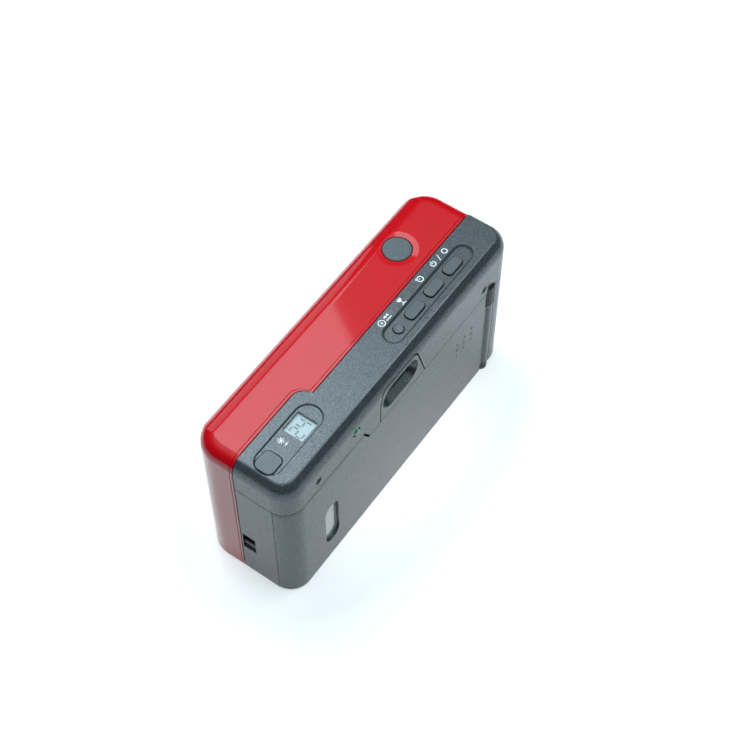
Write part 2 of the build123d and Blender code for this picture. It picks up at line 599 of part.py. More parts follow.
def make_main_chassis():
    back = FILM_Y
    gate_x0 = LENS_X - GATE_W / 2
    gate_x1 = LENS_X + GATE_W / 2
    gate_z0 = LENS_Z - GATE_H / 2
    gate_z1 = LENS_Z + GATE_H / 2
    body = block(gate_x0 - 4, gate_x1 + 6, back - GATE_PLATE, back, DECK_Z0, DECK_Z1)
    body += block(gate_x0 - 1, gate_x1 + 6, FRONT_WALL_Y, back, DECK_Z0, DECK_Z0 + DECK)
    body += block(gate_x0 - 1, gate_x1 + 6, FRONT_WALL_Y, back, DECK_Z1 - DECK, DECK_Z1)
    body += block(gate_x0 - 1.3, gate_x1 + 1.3, FRONT_WALL_Y, back, gate_z0 - 1.3, gate_z1 + 1.3)
    body += block(gate_x0 - 1.3, gate_x1 + 1.3, FRONT_WALL_Y, FRONT_WALL_Y + DECK, LENS_Z - 18, LENS_Z + 18)
    # cartridge chamber
    outer_r = CARTRIDGE_R + CHAMBER_WALL
    chamber = rod_z(CARTRIDGE_X, CARTRIDGE_Y, outer_r, DECK_Z0, CHAMBER_TOP)
    chamber += block(CARTRIDGE_X - outer_r, CARTRIDGE_X + outer_r, CARTRIDGE_Y, back, DECK_Z0, CHAMBER_TOP)
    body += chamber
    # take-up chamber
    outer_r = TAKE_UP_R + CHAMBER_WALL
    chamber = rod_z(TAKE_UP_X, TAKE_UP_Y, outer_r, SPOOL_FLOOR, DECK_Z1)
    chamber += block(TAKE_UP_X - outer_r, TAKE_UP_X + outer_r, TAKE_UP_Y, back, SPOOL_FLOOR, DECK_Z1)
    body += chamber
    body -= block(-70, 70, back, 30, 0, 60)
    # lugs for the rear screws
    lugs = block(42.2, 46.6, 12.5, REAR_Y - WALL - 0.1, CHAMBER_TOP - 0.5, 54.4)
    lugs += block(-45.3, -40.5, 12.2, 14.4, 43.0, 49.8)
    body += lugs & envelope(WALL + 0.1)
    # hollows
    body -= block(gate_x0, gate_x1, FRONT_WALL_Y + DECK, back + 1, gate_z0, gate_z1)
    body -= rod_y(LENS_X, LENS_Z, GATE_H / 2 + 1.0, FRONT_WALL_Y - 1, FRONT_WALL_Y + DECK + 0.5)
    body -= rod_z(CARTRIDGE_X, CARTRIDGE_Y, CARTRIDGE_R, CHAMBER_FLOOR, CHAMBER_TOP - 1.0)
    pocket_z1 = CHAMBER_TOP - 1.0
    x0, x1 = CARTRIDGE_X - CARTRIDGE_R, CARTRIDGE_X + CARTRIDGE_R
    body -= block(x0, x1, CARTRIDGE_Y, back + 1, CHAMBER_FLOOR, pocket_z1)
    body -= rod_z(TAKE_UP_X, TAKE_UP_Y, TAKE_UP_R, SPOOL_FLOOR + 1.2, DECK_Z1 - DECK)
    x0, x1 = TAKE_UP_X - TAKE_UP_R, TAKE_UP_X + TAKE_UP_R
    body -= block(x0, x1, TAKE_UP_Y, back + 1, SPOOL_FLOOR + 1.2, DECK_Z1 - DECK)
    body -= rod_z(TAKE_UP_X, TAKE_UP_Y, SPOOL_SHAFT_R + 0.08, 0, 60)
    body -= rod_z(CARTRIDGE_X, CARTRIDGE_Y, FORK_R + 0.08, 0, CHAMBER_FLOOR + 1)
    body -= rod_z(SOCKET_X, SOCKET_Y, SOCKET_BODY_R + 0.05, 0, SOCKET_H)
    for x, y in BASE_SCREWS:
        body -= rod_z(x, y, SCREW_R, 0, DECK_Z0 + DECK + 0.5)
    for x, z in REAR_SCREWS:
        body -= rod_y(x, z, SCREW_R, 12, 20)
    # film rails above and below the gate
    for z in (gate_z0 - 2.2, gate_z1 + 1.2):
        body += block(gate_x0 - 2, gate_x1 + 3, back - 0.2, back + 0.3, z, z + 1.0)
    return body


def make_light_seal():
    seal = block(LENS_X - 20, LENS_X + 21, FILM_Y, FILM_Y + 0.6, DECK_Z0 + 0.4, DECK_Z0 + 1.9)
    return seal + block(LENS_X - 20, LENS_X + 21, FILM_Y, FILM_Y + 0.6, 41.7, 43.2)


def make_take_up_spool():
    z0, z1 = SPOOL_FLOOR + 1.6, DECK_Z1 - DECK - 0.4
    spool = rod_z(TAKE_UP_X, TAKE_UP_Y, SPOOL_R, z0, z1)
    for z in (z0 + 8.0, z1 - 9.0):
        ring = rod_z(TAKE_UP_X, TAKE_UP_Y, SPOOL_R + 0.5, z, z + 1.0)
        spool += ring
    for i in range(6):
        slot = block(SPOOL_R - 0.8, SPOOL_R + 1, -0.5, 0.5, LENS_Z - 9, LENS_Z + 9)
        spool -= Pos(TAKE_UP_X, TAKE_UP_Y, 0) * Rot(0, 0, 60 * i) * slot
    spool += rod_z(TAKE_UP_X, TAKE_UP_Y, SPOOL_SHAFT_R, GEAR_Z0, DECK_Z1 - 0.2)
    return spool + gear(SPOOL_TEETH, TAKE_UP_X, TAKE_UP_Y, 0, GEAR_Z0, GEAR_Z1)


def make_idler_gear():
    wheel = gear(IDLER_TEETH, *IDLER_XY, IDLER_PHASE, GEAR_Z0, GEAR_Z1)
    return wheel - rod_z(*IDLER_XY, IDLER_STUD_R + 0.06, 0, 10)


def make_motor_pinion():
    pinion = gear(PINION_TEETH, MOTOR_X, MOTOR_Y, PINION_PHASE, GEAR_Z0, GEAR_Z1)
    return pinion + rod_z(MOTOR_X, MOTOR_Y, MOTOR_SHAFT_R, GEAR_Z0, MOTOR_Z0 + 3)


def make_wind_motor():
    can = rod_z(MOTOR_X, MOTOR_Y, MOTOR_R, MOTOR_Z0, MOTOR_Z1)
    can = fillet(can.faces().sort_by(Axis.Z)[-1].edges(), 0.6)
    flats = block(MOTOR_X - 4.3, MOTOR_X + 4.3, MOTOR_Y - 6, MOTOR_Y + 6, 0, 60)
    return (can & flats) - rod_z(MOTOR_X, MOTOR_Y, MOTOR_SHAFT_R + 0.08, 0, MOTOR_Z0 + 3.2)


def make_rewind_fork():
    fork = rod_z(CARTRIDGE_X, CARTRIDGE_Y, FORK_R, FORK_Z0, CHAMBER_FLOOR + 0.3)
    fork += rod_z(CARTRIDGE_X, CARTRIDGE_Y, FORK_R + 1.2, CHAMBER_FLOOR + 0.2, CHAMBER_FLOOR + 0.8)
    fork += rod_z(CARTRIDGE_X, CARTRIDGE_Y, 1.6, CHAMBER_FLOOR + 0.7, CHAMBER_FLOOR + 4.0)
    blade = block(CARTRIDGE_X - 2.4, CARTRIDGE_X + 2.4, CARTRIDGE_Y - 0.45, CARTRIDGE_Y + 0.45, 3, CHAMBER_FLOOR + 3.6)
    return fork + blade


# ---- lens, front windows and viewfinder ----

def make_lens_bezel():
    flange = rod_y(LENS_X, LENS_Z, BEZEL_R, -PROUD_Y, BEZEL_SEAT_Y)
    flange = fillet(flange.faces().sort_by(Axis.Y)[0].edges(), 0.5)
    bezel = flange + rod_y(LENS_X, LENS_Z, BEZEL_R - 1.5, BEZEL_SEAT_Y - 0.1, GUIDE_Y0)
    return bezel - rod_y(LENS_X, LENS_Z, BARREL_R + 0.35, -30, 0)


def make_lens_guide_tube():
    tube = rod_y(LENS_X, LENS_Z, GUIDE_OUT_R, GUIDE_Y0, FRONT_WALL_Y)
    return tube - rod_y(LENS_X, LENS_Z, GUIDE_IN_R, -30, 10)


def make_lens_barrel():
    barrel = rod_y(LENS_X, LENS_Z, BARREL_R, BARREL_Y0, BARREL_Y1)
    barrel = fillet(barrel.faces().sort_by(Axis.Y)[0].edges(), 0.5)
    barrel -= rod_y(LENS_X, LENS_Z, BARREL_IN_R, BARREL_Y0 + LENS_CAP_T, 10)
    cone = Cone(LENS_CAP_R, LENS_CAP_R + 1.6, LENS_CAP_T)
    cap_hole = Pos(LENS_X, BARREL_Y0 + LENS_CAP_T / 2, LENS_Z) * Rot(90, 0, 0) * cone
    return barrel - cap_hole


def cover_blade(side):
    """Half of the lens cover; side is 1 for the upper blade and -1 for the lower one."""
    disc = rod_y(LENS_X, LENS_Z, LENS_CAP_R + 0.7, BLADE_Y0, BLADE_Y1)
    low, high = sorted((LENS_Z + 0.03 * side, LENS_Z + 20 * side))
    return disc & block(LENS_X - 20, LENS_X + 20, -30, 0, low, high)


def make_shutter_unit():
    unit = rod_y(LENS_X, LENS_Z, BARREL_IN_R, SHUTTER_Y0, SHUTTER_Y1)
    unit -= rod_y(LENS_X, LENS_Z, LENS_R, -30, 10)
    slot = rod_y(LENS_X, LENS_Z, BARREL_IN_R - 0.6, SHUTTER_SLOT_Y - 0.6, SHUTTER_SLOT_Y + 0.6)
    return unit - slot


def shutter_blade(side):
    """Half of the shutter; side is 1 for the blade towards +X and -1 for the other."""
    disc = rod_y(LENS_X, LENS_Z, LENS_R + 0.2, SHUTTER_SLOT_Y - BLADE_T / 2, SHUTTER_SLOT_Y + BLADE_T / 2)
    low, high = sorted((LENS_X + 0.02 * side, LENS_X + 20 * side))
    return disc & block(low, high, -30, 0, LENS_Z - 20, LENS_Z + 20)


def lens_element(y0, y1, crown_front, crown_rear):
    """Round lens with spherical faces; a crown is how far a face bulges from its rim."""
    blank = rod_y(LENS_X, LENS_Z, LENS_R, y0, y1)
    for crown, rim, side in ((crown_front, y0 + crown_front, -1), (crown_rear, y1 - crown_rear, 1)):
        radius = (LENS_R ** 2 + crown ** 2) / (2 * crown)
        centre_y = rim - side * (radius - crown)
        blank = blank & Pos(LENS_X, centre_y, LENS_Z) * Sphere(radius)
    return blank


def make_front_fascia():
    plate = rounded_y(*FASCIA, -PROUD_Y, FASCIA_Y1, FASCIA_R)
    plate = fillet(plate.faces().sort_by(Axis.Y)[0].edges(), 0.5)
    plate -= rounded_y(*grow(FINDER_PANE, 0.05), -30, 0, 1.0)
    for x, z in AF_PANES:
        plate -= rod_y(x, z, AF_R + 0.05, -30, 0)
    return plate


def make_viewfinder_objective():
    return rounded_y(*FINDER_PANE, -PROUD_Y + 0.4, -PROUD_Y + 1.4, 1.0)


def make_af_windows():
    return Compound([rod_y(x, z, AF_R, -PROUD_Y + 0.4, -PROUD_Y + 1.4) for x, z in AF_PANES])


def make_viewfinder_housing():
    outline = (FINDER_X - HOUSING_HALF_W, FINDER_X + HOUSING_HALF_W, *HOUSING_Z)
    x0, x1, z0, z1 = outline
    housing = block(x0, x1, FASCIA_Y1 + 0.4, FRAME_BACK_Y - 0.6, z0, z1)
    x0, x1, z0, z1 = grow(outline, -HOUSING_WALL)
    return housing - block(x0, x1, -30, 30, z0, z1)


def make_eyepiece_lens():
    half_l, half_h = EYE_INNER_L / 2 - 0.08, EYE_INNER_H / 2 - 0.08
    reach = FINDER_X - half_l, FINDER_X + half_l
    rise = FINDER_Z - half_h, FINDER_Z + half_h
    return slot_rear(*reach, *rise, FRAME_BACK_Y - 0.4, FRAME_BACK_Y + 0.5)


def make_flash_window():
    return rounded_y(*FLASH_PANE, FLASH_PANE_Y0, FLASH_PANE_Y0 + 1.2, 1.5)


def make_flash_reflector():
    x0, x1, z0, z1 = FLASH_PANE
    zc = (z0 + z1) / 2
    body = block(x0 + 0.5, x1 - 0.5, -16.6, -11.6, z0 + 0.5, z1 - 0.5)
    return body - rod_x(-17.0, zc, REFLECTOR_R, x0 + 1.5, x1 - 1.5)


def make_flash_tube():
    x0, x1, z0, z1 = FLASH_PANE
    return rod_x(-15.2, (z0 + z1) / 2, FLASH_TUBE_R, x0 + 2.4, x1 - 2.4)


def make_flash_capacitor():
    can = rod_z(*CAPACITOR_XY, CAPACITOR_R, *CAPACITOR_Z)
    return fillet(can.edges(), 0.5)


def domed_lamp(x, z, radius, y_tip, y_base, side):
    """Small lamp with a rounded tip; side is the way it looks along Y."""
    centre = y_tip - side * radius
    low, high = sorted((centre, y_base))
    return Pos(x, centre, z) * Sphere(radius) + rod_y(x, z, radius, low, high)


# ---- controls and electronics ----

def make_shutter_button():
    x, y = SHUTTER_XY
    cap = rod_z(x, y, SHUTTER_R, KEY_FOOT_Z + 0.5, SHUTTER_TOP)
    cap = fillet(cap.faces().sort_by(Axis.Z)[-1].edges(), 0.35)
    return cap + rod_z(x, y, SHUTTER_R + 0.7, KEY_FOOT_Z - 0.3, KEY_FOOT_Z + 0.7)


def make_flash_button():
    x0, x1, y0, y1 = FLASH_KEY
    return key_solid(x0, x1, y0, y1, KEY_TOP, FLASH_KEY_R)


def make_lcd_window():
    x0, x1, y0, y1 = LCD_BOX
    return rounded_z(x0, x1, y0, y1, HEIGHT - 1.6, HEIGHT - 0.75, 0.5)


def make_lcd_module():
    x0, x1, y0, y1 = LCD_BOX
    return block(x0 - 0.8, x1 + 0.8, y0 - 0.8, y1 + 0.8, BOARD_Z1 + 0.2, HEIGHT - WALL - 0.15)


def make_button_board():
    board = block(-45, 56 - 3, 3.4, 12.6, BOARD_Z0, BOARD_Z1)
    board += block(SHUTTER_XY[0] - 6, SHUTTER_XY[0] + 6, SHUTTER_XY[1] - 5, 3.5, BOARD_Z0, BOARD_Z1)
    return board - block(42.1, 46.7, 12.0, 14, 50, 60)


def make_main_pcb():
    """The board lies on both sides of the viewfinder, which cuts it in two."""
    board = block(*MAIN_BOARD, *MAIN_BOARD_Z)
    board -= block(FINDER_X - HOUSING_HALF_W - 0.3, FINDER_X + HOUSING_HALF_W + 0.3, -30, 30, 40, 60)
    return Compound(board.solids())


def make_screws(places, along_y):
    screws = []
    for a, b in places:
        if along_y:
            head = rod_y(a, b, SCREW_HEAD_R, REAR_Y - SCREW_SINK, REAR_Y - 0.15)
            slot = block(a - 0.15, a + 0.15, REAR_Y - 0.5, REAR_Y, b - 0.8, b + 0.8)
            cross = block(a - 0.8, a + 0.8, REAR_Y - 0.5, REAR_Y, b - 0.15, b + 0.15)
            screws.append(head - slot - cross + rod_y(a, b, SCREW_R, 12.8, REAR_Y - SCREW_SINK + 0.1))
        else:
            head = rod_z(a, b, BASE_HEAD_R, 0.15, BASE_HEAD_H)
            slot = block(a - 0.2, a + 0.2, b - 1.1, b + 1.1, 0, 0.5)
            cross = block(a - 1.1, a + 1.1, b - 0.2, b + 0.2, 0, 0.5)
            screws.append(head - slot - cross + rod_z(a, b, SCREW_R, BASE_HEAD_H - 0.1, 3.0))
    return Compound(screws)


def make_tripod_socket():
    socket = rod_z(SOCKET_X, SOCKET_Y, SOCKET_FLANGE_R, 0, 1.2)
    socket += rod_z(SOCKET_X, SOCKET_Y, SOCKET_BODY_R, 1.1, SOCKET_H)
    return socket - rod_z(SOCKET_X, SOCKET_Y, SOCKET_THREAD_R, -1, SOCKET_DEPTH)


def make_battery():
    cell = rod_z(BATTERY_X, BATTERY_Y, BATTERY_R, BATTERY_Z0, BATTERY_Z1 - 0.9)
    cell = fillet(cell.edges(), 0.6)
    return cell + rod_z(BATTERY_X, BATTERY_Y, 3.0, BATTERY_Z1 - 1.0, BATTERY_Z1)


def make_battery_holder():
    tube = rod_z(BATTERY_X, BATTERY_Y, BATTERY_R + 0.75, BATTERY_Z0 + 1, BATTERY_Z1 + 2)
    tube -= rod_z(BATTERY_X, BATTERY_Y, BATTERY_R + 0.15, 0, BATTERY_Z1 + 1)
    return tube - block(-40.8, -30, -20, 20, 0, 60)


def make_battery_contacts():
    top = rod_z(BATTERY_X, BATTERY_Y, 4.5, BATTERY_Z1 + 0.1, BATTERY_Z1 + 0.5)
    low = block(BATTERY_X - 3, BATTERY_X + 3, BATTERY_Y - 2, BATTERY_Y + 2, BATTERY_Z0 - 0.5, BATTERY_Z0 - 0.1)
    return Compound([top, low])


def idler_centre():
    """Where the idler meshes with both the spool gear and the motor pinion."""
    to_spool = GEAR_MODULE * (SPOOL_TEETH + IDLER_TEETH) / 2
    to_motor = GEAR_MODULE * (PINION_TEETH + IDLER_TEETH) / 2
    dx, dy = MOTOR_X - TAKE_UP_X, MOTOR_Y - TAKE_UP_Y
    reach = math.hypot(dx, dy)
    along = (to_spool ** 2 - to_motor ** 2 + reach ** 2) / (2 * reach)
    aside = math.sqrt(to_spool ** 2 - along ** 2)
    ux, uy = dx / reach, dy / reach
    return TAKE_UP_X + along * ux - aside * uy, TAKE_UP_Y + along * uy + aside * ux


def mesh_phase(from_xy, from_teeth, from_phase, to_xy, to_teeth):
    """Turn the second gear so that its gap faces a tooth of the first."""
    angle = math.degrees(math.atan2(to_xy[1] - from_xy[1], to_xy[0] - from_xy[0]))
    offset = (angle - from_phase) / (360 / from_teeth)
    return angle + 180 - (360 / to_teeth) * (0.5 - offset)


# ---- build ----

OUTER = envelope(0)
INNER = envelope(WALL)
BASE_ZONE = Pos(0, 0, -1) * extrude(plan_face(WALL), WALL + 1.2)
IDLER_XY = idler_centre()
IDLER_PHASE = mesh_phase((TAKE_UP_X, TAKE_UP_Y), SPOOL_TEETH, 0, IDLER_XY, IDLER_TEETH)
PINION_PHASE = mesh_phase(IDLER_XY, IDLER_TEETH, IDLER_PHASE, (MOTOR_X, MOTOR_Y), PINION_TEETH)

nodes = {
    "front_cover": make_front_cover(),
    "front_fascia": make_front_fascia(),
    "viewfinder_objective": make_viewfinder_objective(),
    "af_windows": make_af_windows(),
    "flash_window": make_flash_window(),
    "flash_reflector": make_flash_reflector(),
    "flash_tube": make_flash_tube(),
    "flash_capacitor": make_flash_capacitor(),
    "self_timer_lamp": domed_lamp(*TIMER_LAMP_XZ, TIMER_LAMP_R, -18.9, -16.0, -1),
    "light_sensor": domed_lamp(*SENSOR_XZ, SENSOR_R, -18.9, -16.0, -1),
    "lens_bezel": make_lens_bezel(),
    "lens_guide_tube": make_lens_guide_tube(),
    "lens_barrel": make_lens_barrel(),
    "lens_cover_upper": cover_blade(1),
    "lens_cover_lower": cover_blade(-1),
    "shutter_unit": make_shutter_unit(),
    "shutter_blade_left": shutter_blade(1),
    "shutter_blade_right": shutter_blade(-1),
    "front_lens_element": lens_element(-15.9, -12.4, 1.2, 0.6),
    "rear_lens_element": lens_element(-7.6, -4.6, 0.5, 0.8),
    "top_cover": make_top_cover(),
    "button_board": make_button_board(),
    "main_circuit_board": make_main_pcb(),
    "shutter_button": make_shutter_button(),
    "rewind_button": round_key(REWIND_X, KEY_Y, REWIND_R, KEY_TOP - 0.2),
    "flash_button": make_flash_button(),
    "lcd_window": make_lcd_window(),
    "lcd_module": make_lcd_module(),
    "ready_lamp": domed_lamp(*READY_LAMP_XZ, READY_LAMP_R, REAR_Y + READY_LAMP_PROUD, 14.0, 1),
    "eyepiece_frame": make_eyepiece_frame(),
    "eyepiece_lens": make_eyepiece_lens(),
    "viewfinder_housing": make_viewfinder_housing(),
    "main_chassis": make_main_chassis(),
    "side_cover_left": make_side_cover_left(),
    "side_cover_right": make_side_cover_right(),
    "bottom_cover": make_bottom_cover(),
    "tripod_socket": make_tripod_socket(),
    "strap_bar": make_strap_bar(),
    "door_latch": make_door_latch(),
    "back_door": make_back_door(),
    "film_window_pane": make_film_window_pane(),
    "pressure_plate": make_pressure_plate(),
    "hinge_knuckles": make_hinge_knuckles(),
    "door_hinge_pin": rod_z(HINGE_X, HINGE_Y, PIN_R, 0.5, KNUCKLE_TOP - 1.2),
    "light_seal": make_light_seal(),
    "rewind_fork": make_rewind_fork(),
    "take_up_spool": make_take_up_spool(),
    "idler_gear": make_idler_gear(),
    "motor_pinion": make_motor_pinion(),
    "wind_motor": make_wind_motor(),
    "battery": make_battery(),
    "battery_holder": make_battery_holder(),
    "battery_contacts": make_battery_contacts(),
    "battery_door": make_battery_door(),
    "battery_door_pin": make_battery_door_pin(),
    "rear_screws": make_screws(REAR_SCREWS, True),
    "base_screws": make_screws(BASE_SCREWS, False),
}
for name in KEYS:
    nodes[name] = key_solid(*key_box(name), KEY_TOP, KEY_CORNER_R)

os.makedirs("parts", exist_ok=True)
for name, shape in nodes.items():
    export_step(shape, f"parts/{name}.step")
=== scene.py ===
import json
import math

import bmesh
import bpy
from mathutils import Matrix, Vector


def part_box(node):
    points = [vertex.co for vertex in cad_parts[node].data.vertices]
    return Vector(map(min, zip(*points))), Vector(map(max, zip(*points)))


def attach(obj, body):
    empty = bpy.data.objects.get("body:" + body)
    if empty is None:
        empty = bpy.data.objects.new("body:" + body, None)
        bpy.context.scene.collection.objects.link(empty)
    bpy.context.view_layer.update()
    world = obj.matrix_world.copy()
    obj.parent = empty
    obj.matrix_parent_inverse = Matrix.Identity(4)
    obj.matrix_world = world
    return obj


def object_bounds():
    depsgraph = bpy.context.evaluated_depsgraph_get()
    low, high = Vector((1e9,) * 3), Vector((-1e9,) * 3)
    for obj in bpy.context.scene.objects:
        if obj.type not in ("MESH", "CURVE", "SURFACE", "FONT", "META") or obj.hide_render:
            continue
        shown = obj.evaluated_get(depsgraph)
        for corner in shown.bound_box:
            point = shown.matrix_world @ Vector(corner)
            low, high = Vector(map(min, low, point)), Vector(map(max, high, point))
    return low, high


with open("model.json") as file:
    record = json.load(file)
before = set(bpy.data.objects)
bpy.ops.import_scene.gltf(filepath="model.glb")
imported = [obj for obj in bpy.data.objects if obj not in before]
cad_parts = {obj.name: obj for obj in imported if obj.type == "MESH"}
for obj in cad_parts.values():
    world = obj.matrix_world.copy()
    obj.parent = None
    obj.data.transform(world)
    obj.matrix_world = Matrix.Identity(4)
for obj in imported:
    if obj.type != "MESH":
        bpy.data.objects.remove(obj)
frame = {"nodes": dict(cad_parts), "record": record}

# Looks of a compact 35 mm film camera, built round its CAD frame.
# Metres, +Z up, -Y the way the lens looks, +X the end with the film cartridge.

CAD_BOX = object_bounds()
NODES = frame["nodes"]
MM = 0.001

# ---- driving dimensions ----
TOP_Z = CAD_BOX[1].z
INK_THICKNESS = 0.012 * MM
SEGMENT_THICKNESS = 0.02 * MM
PANEL_DEPTH = 0.45 * MM          # how far the display panel lies below the top face
PRINT_ROW_Y = 4.95 * MM          # the line of printed symbols beside the keys
REWIND_MARK_SHIFT = 0.4 * MM     # from the middle of the rewind key, towards -X
FLASH_MARK_X = 3.85 * MM         # from the flash key's -X end, and from its middle along Y
FLASH_MARK_Y = 0.8 * MM
DIGIT_PITCH = 3.3                # the figures of the counter, in millimetres
DIGIT_HEIGHT = 4.6
DIGIT_BAR = 0.115                # width of a bar, as a share of the figure's height
DIGIT_GAP = 0.62                 # gap at each end of a bar, as a share of its width
REAR_Y = 18.3 * MM               # rear face of the film door
PITS_X = -29.0 * MM              # the dimples in the film door: first one, steps, radius, depth; discs of painted shade sit at their floors
PITS_Z = 34.0 * MM
PITS_STEP_X = 4.1 * MM
PITS_STEP_Z = 2.9 * MM
PITS_R = 0.49 * MM
PITS_DEPTH = 0.3 * MM
PITS_PER_ROW = 3
PITS_CORNERS = 16
BAND_START = 0.72                # the battery's gold band, as a share of the cell's height
BAND_BLUR = 0.05 * MM
FLOOR_RADIUS = 0.34
FLOOR_CORNERS = 96
GLOW_X = 80 * MM                 # reach of the floor's glow round the camera body
GLOW_Y = 45 * MM
GLOW_STRENGTH = (0.6, 0.05)      # next to the body, and away from it
GLOW_FADE = (0.40, 0.95)         # where the glow falls off, as shares of its reach
CAMERA_PLACE = Vector((0.21996, 0.16198, 0.44711))
CAMERA_TARGET = Vector((-0.0069, 0.0019, 0.0300))
CAMERA_LENS = 75.88
SENSOR = 36.0
LIGHT_TINT = (0.87, 1.0, 1.07)   # cool daylight
WHITE_LEVEL = 1.1                # brightness of the world where the camera sees it directly
# brightness of the tent against the sine of the elevation: dark round the horizon, bright overhead
TENT = ((-1.0, 0.8), (-0.30, 0.4), (-0.12, 0.04), (0.50, 0.03),
        (0.70, 0.28), (0.80, 0.75), (0.88, 1.2), (1.0, 1.3))
GRAIN_SCALE = 3600               # grain of moulded plastic
ACRYLIC_IOR = 1.49


# ---- node helpers ----

class Look:
    """A node material: a Principled shader, varied over the object's own coordinates."""

    def __init__(self, name, colour, roughness, **uniform):
        self.material = bpy.data.materials.new(name)
        self.material.use_nodes = True
        self.nodes = self.material.node_tree.nodes
        self.links = self.material.node_tree.links
        self.shader = self.nodes["Principled BSDF"]
        self.where = self.nodes.new("ShaderNodeTexCoord").outputs["Object"]
        self.shader.inputs["Base Color"].default_value = (*colour, 1)
        self.shader.inputs["Roughness"].default_value = roughness
        for socket, value in uniform.items():    # coat_ior=1.5 sets the input "Coat IOR"
            label = socket.replace("_", " ").title().replace("Ior", "IOR")
            self.shader.inputs[label].default_value = value
        self.material.diffuse_color = (*colour, 1)

    def join(self, source, node, socket):
        self.links.new(source, node.inputs[socket])

    def noise(self, scale, detail=2.0, rough=0.5, stretch=None):
        texture = self.nodes.new("ShaderNodeTexNoise")
        texture.inputs["Scale"].default_value = scale
        texture.inputs["Detail"].default_value = detail
        texture.inputs["Roughness"].default_value = rough
        self.join(self.stretched(stretch), texture, "Vector")
        return texture.outputs["Fac"]

    def cells(self, scale):
        texture = self.nodes.new("ShaderNodeTexVoronoi")
        texture.inputs["Scale"].default_value = scale
        self.join(self.where, texture, "Vector")
        return texture

    def stretched(self, stretch):
        if stretch is None:
            return self.where
        mapping = self.nodes.new("ShaderNodeMapping")
        mapping.inputs["Scale"].default_value = stretch
        self.join(self.where, mapping, "Vector")
        return mapping.outputs["Vector"]

    def ramp(self, source, low, high, start=0.0, end=1.0):
        """The source's range start..end spread over low..high."""
        spread = self.nodes.new("ShaderNodeMapRange")
        spread.inputs["From Min"].default_value = start
        spread.inputs["From Max"].default_value = end
        spread.inputs["To Min"].default_value = low
        spread.inputs["To Max"].default_value = high
        self.join(source, spread, "Value")
        return spread.outputs["Result"]

    def patches(self, scale, detail, start=0.3, end=0.7):
        """Noise with its range start..end spread over 0..1."""
        return self.ramp(self.noise(scale, detail), 0.0, 1.0, start, end)

    def blend(self, share, low_colour, high_colour):
        mix = self.nodes.new("ShaderNodeMix")
        mix.data_type = "RGBA"
        colours = [socket for socket in mix.inputs if socket.type == "RGBA"]
        for socket, colour in zip(colours, (low_colour, high_colour)):
            if isinstance(colour, bpy.types.NodeSocket):
                self.links.new(colour, socket)
            else:
                socket.default_value = (*colour, 1)
        self.links.new(share, mix.inputs[0])
        return [socket for socket in mix.outputs if socket.type == "RGBA"][0]

    def drive(self, socket, source):
        self.join(source, self.shader, socket)

    def bump(self, *layers):
        """Each layer is a height source and its depth in metres."""
        below = None
        for height, depth in layers:
            relief = self.nodes.new("ShaderNodeBump")
            relief.inputs["Distance"].default_value = depth
            self.join(height, relief, "Height")
            if below is not None:
                self.join(below, relief, "Normal")
            below = relief.outputs["Normal"]
        self.drive("Normal", below)


# ---- materials ----

def scaled(colour, factor, lift=0.0):
    return [min(1.0, channel * factor + lift) for channel in colour]


def red_paint():
    """Glossy red lacquer over plastic, with a faint pearl and a little orange peel."""
    look = Look("red_lacquer", (0.50, 0.002, 0.005), 0.34, specular_ior_level=0.05,
                coat_weight=1.0, coat_roughness=0.05, coat_ior=1.42)
    pearl = look.patches(5200, 1.0, 0.52, 0.72)
    body = look.blend(look.patches(55, 3.0), (0.47, 0.001, 0.004), (0.52, 0.002, 0.007))
    look.drive("Base Color", look.blend(pearl, body, (0.58, 0.006, 0.014)))
    look.drive("Roughness", look.ramp(look.noise(900, 3.0), 0.29, 0.38))
    look.bump((look.noise(420, 1.0), 0.020 * MM), (look.noise(2600, 2.0), 0.003 * MM))
    return look.material


def flecked_grey(name, dark, fleck, roughness, relief):
    """Near-black satin plastic full of fine metallic flecks, with a moulded grain."""
    look = Look(name, dark, roughness)
    body = look.blend(look.patches(40, 3.0), dark, scaled(dark, 1.3))
    flakes = look.noise(9000, 1.0)
    look.drive("Base Color", look.blend(look.ramp(flakes, 0.0, 1.0, 0.44, 0.76), body, fleck))
    look.drive("Metallic", look.ramp(flakes, 0.0, 0.9, 0.42, 0.74))
    look.drive("Roughness", look.ramp(look.noise(3800, 3.0), roughness - 0.07, roughness + 0.07))
    look.bump((look.noise(5200, 3.0), relief), (look.noise(180, 2.0), relief / 2))
    return look.material


def moulded(name, colour, roughness, grain=0.012 * MM, variation=0.25, **uniform):
    """Moulded plastic: slightly uneven colour and gloss, and a fine grain."""
    look = Look(name, colour, roughness, **uniform)
    paler = scaled(colour, 1 + variation, 0.004)
    look.drive("Base Color", look.blend(look.patches(70, 4.0), colour, paler))
    gloss = look.noise(GRAIN_SCALE / 2, 3.0)
    look.drive("Roughness", look.ramp(gloss, roughness - 0.06, roughness + 0.08))
    look.bump((look.noise(GRAIN_SCALE, 3.0), grain))
    return look.material


def metal(name, colour, roughness, stretch, marks=0.15):
    """Bare metal with drawn or turned marks along one direction and small tarnish."""
    look = Look(name, colour, roughness, metallic=1.0)
    lines = look.noise(900, 4.0, 0.6, stretch)
    tarnish = look.patches(260, 4.0, 0.45, 0.75)
    look.drive("Base Color", look.blend(tarnish, colour, scaled(colour, 0.72)))
    look.drive("Roughness", look.ramp(lines, roughness - marks, roughness + marks))
    look.bump((lines, 0.006 * MM))
    return look.material


